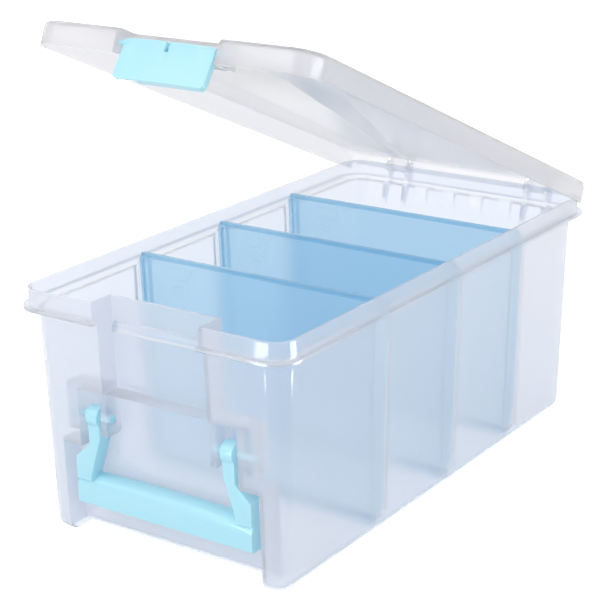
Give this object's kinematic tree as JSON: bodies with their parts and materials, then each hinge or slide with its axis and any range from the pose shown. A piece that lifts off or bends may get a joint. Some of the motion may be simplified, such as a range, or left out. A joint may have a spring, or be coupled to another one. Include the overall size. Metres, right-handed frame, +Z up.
{
  "type": "craft storage box",
  "caption": "Tall translucent storage box with a hinged lid, front latch, drop handle and lift-out dividers in pressed guides.",
  "frame": {"origin": "centre of the tub's flat underside", "axes": "+Z up, -Y towards the front with the latch and handle, +X to the right seen from the front"},
  "size_m": [0.2072, 0.396, 0.325],
  "materials": {
    "clear_plastic": "frosted translucent moulded plastic",
    "aqua_plastic": "satin opaque moulded plastic",
    "blue_plastic": "tinted translucent moulded plastic"
  },
  "bodies": {
    "tub": {"tub": "clear_plastic"},
    "lid": {"lid": "clear_plastic"},
    "latch": {"latch": "aqua_plastic"},
    "handle": {"handle": "aqua_plastic"},
    "divider_front": {"divider_front": "blue_plastic"},
    "divider_middle": {"divider_middle": "blue_plastic"},
    "divider_back": {"divider_back": "blue_plastic"}
  },
  "joints": [
    {"name": "lid_hinge", "type": "hinge", "parent": "tub", "child": "lid", "pos_m": [0, 0.197, 0.1608], "axis": [-1, 0, 0], "range_deg": [-23.9, 81.1]},
    {"name": "latch_hinge", "type": "hinge", "parent": "lid", "child": "latch", "pos_m": [0, -0.15541, 0.31631], "axis": [-1, 0, 0], "range_deg": [-11.5, 70]},
    {"name": "handle_hinge", "type": "hinge", "parent": "tub", "child": "handle", "pos_m": [0, -0.177, 0.0838], "axis": [-1, 0, 0], "range_deg": [0, 95]},
    {"name": "divider_front_slide", "type": "slide", "parent": "tub", "child": "divider_front", "axis": [0, 0, 1], "range_m": [0, 0.125]},
    {"name": "divider_middle_slide", "type": "slide", "parent": "tub", "child": "divider_middle", "axis": [0, 0, 1], "range_m": [0, 0.086]},
    {"name": "divider_back_slide", "type": "slide", "parent": "tub", "child": "divider_back", "axis": [0, 0, 1], "range_m": [0, 0.048]}
  ]
}
